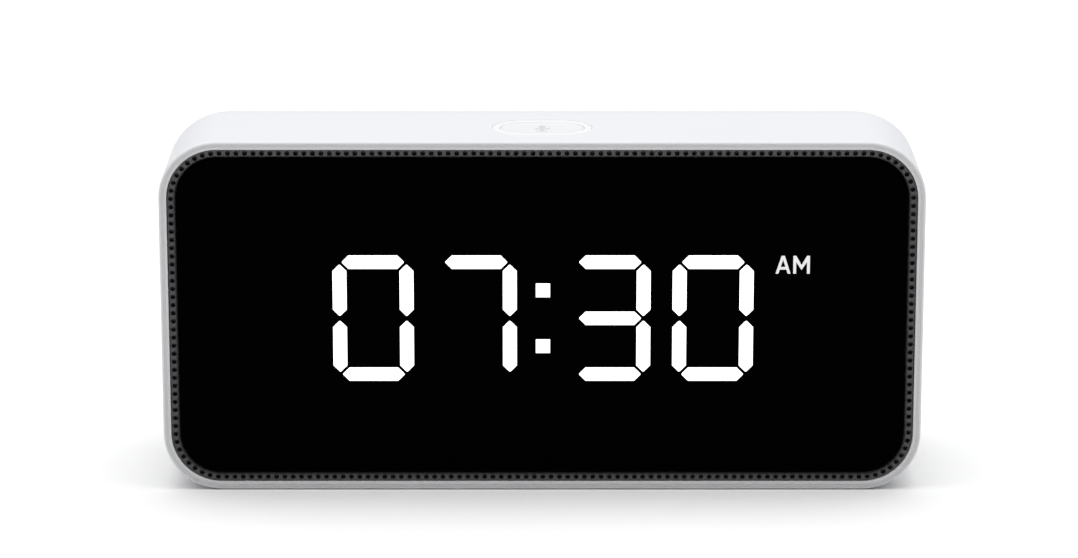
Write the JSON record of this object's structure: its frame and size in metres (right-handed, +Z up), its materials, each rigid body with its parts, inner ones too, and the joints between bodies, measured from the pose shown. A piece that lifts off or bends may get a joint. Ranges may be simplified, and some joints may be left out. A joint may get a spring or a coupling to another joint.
{
  "type": "smart alarm clock display",
  "caption": "Rounded white bedside clock case with a recessed black segment display, a perforated dark surround, an oval push button on top and a rear speaker grille.",
  "frame": {"origin": "centre of the bottom of the bounding box, on the surface the clock stands on", "axes": "+X to the right seen from the front, along the long side; +Y to the back; +Z up"},
  "size_m": [0.145, 0.044, 0.0685],
  "materials": {
    "case": "satin white moulded plastic",
    "trim": "matte dark grey moulded plastic",
    "smoked_panel": "polished near-black panel",
    "lit_segment": "white light shining through the panel",
    "button": "satin white moulded plastic",
    "button_mark": "pad-printed dark grey symbol",
    "light_ring": "milky translucent plastic",
    "light_guide": "milky diffusing plastic",
    "foot_rubber": "matte grey rubber",
    "black_inner": "matte black moulded plastic",
    "circuit_board": "green solder mask",
    "steel": "plain steel",
    "magnet": "dark sintered magnet",
    "copper": "bare copper",
    "cone": "black pressed paper",
    "cable": "black insulation"
  },
  "bodies": {
    "case": {"aerial_lead": "cable", "am_light_guide": "light_guide", "board_screw_1": "steel", "board_screw_2": "steel", "board_screw_3": "steel", "board_screw_4": "steel", "button_board": "circuit_board", "button_lead": "cable", "button_light_ring": "light_ring", "case_screw_1": "steel", "case_screw_2": "steel", "case_screw_3": "steel", "case_screw_4": "steel", "chassis": "black_inner", "colon_light_guide": "light_guide", "cone_surround": "foot_rubber", "digit_1_light_guide": "light_guide", "digit_2_light_guide": "light_guide", "digit_3_light_guide": "light_guide", "digit_4_light_guide": "light_guide", "display_board": "circuit_board", "display_reflector": "black_inner", "display_ribbon": "cable", "display_screw_1": "steel", "display_screw_2": "steel", "display_screw_3": "steel", "display_screw_4": "steel", "foot_pad": "foot_rubber", "front_panel": "smoked_panel", "housing_shell": "case", "magnet": "magnet", "magnet_cup": "steel", "main_board": "circuit_board", "microphone_boot_left": "foot_rubber", "microphone_boot_right": "foot_rubber", "microphone_left": "circuit_board", "microphone_right": "circuit_board", "panel_tape": "black_inner", "perforated_trim": "trim", "pole_plate": "steel", "power_socket": "steel", "shield_can": "steel", "socket_tongue": "black_inner", "speaker_basket": "black_inner", "speaker_gasket": "foot_rubber", "speaker_lead": "cable", "speaker_screw_1": "steel", "speaker_screw_2": "steel", "speaker_screw_3": "steel", "speaker_screw_4": "steel", "tact_switch": "black_inner", "wifi_aerial": "copper"},
    "button": {"button_cap": "button", "switch_plunger": "black_inner"},
    "cone": {"voice_coil": "copper", "speaker_cone": "cone", "dust_cap": "cone"}
  },
  "joints": [
    {"name": "button_press", "type": "slide", "parent": "case", "child": "button", "axis": [0, 0, -1], "range_m": [0, 0.0006], "stiffness_N_per_m": 300, "springref_m": -0.0005},
    {"name": "cone_travel", "type": "slide", "parent": "case", "child": "cone", "axis": [0, 1, 0], "range_m": [-0.0008, 0.0008], "stiffness_N_per_m": 500}
  ]
}
